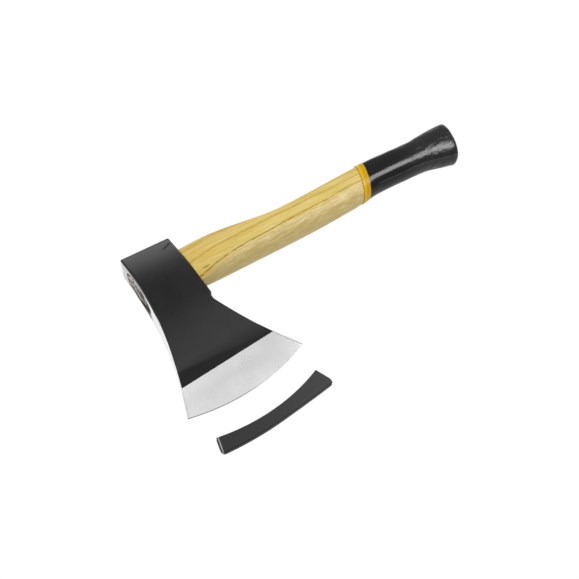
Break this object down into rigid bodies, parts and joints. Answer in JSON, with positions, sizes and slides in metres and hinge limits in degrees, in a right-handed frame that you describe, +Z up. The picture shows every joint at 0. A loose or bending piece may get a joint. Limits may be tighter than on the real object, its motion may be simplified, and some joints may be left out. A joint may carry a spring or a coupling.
{
  "type": "hatchet",
  "caption": "Hatchet lying on its side: forged black head with a ground edge, ash handle wedged in the eye, dipped black grip and a push-on edge guard.",
  "frame": {"origin": "middle of the box round the hatchet and its guard, on the floor that it lies on", "axes": "+X along the handle from the head to the knob, +Y from the cutting edge to the poll, +Z up through the thickness"},
  "size_m": [0.383, 0.1916, 0.0298],
  "materials": {
    "painted_steel": "satin black paint with a bright ground edge and top face",
    "ash_wood": "clear-lacquered ash with long dark grain lines",
    "wedge_wood": "bare hardwood",
    "wedge_steel": "ground flush",
    "ring_paint": "yellow gloss paint",
    "grip_lacquer": "black dipped lacquer, slightly lumpy",
    "guard_plastic": "moulded, matt dark grey"
  },
  "bodies": {
    "hatchet": {"axe_head": "painted_steel", "handle": "ash_wood", "wooden_wedge": "wedge_wood", "steel_wedge_rear": "wedge_steel", "steel_wedge_front": "wedge_steel", "stripe_band": "ring_paint", "grip_coat": "grip_lacquer"},
    "guard": {"edge_guard": "guard_plastic"}
  },
  "joints": [
    {"name": "guard_slide", "type": "slide", "parent": "hatchet", "child": "guard", "axis": [0, 1, 0], "range_m": [0, 0.0319]}
  ]
}
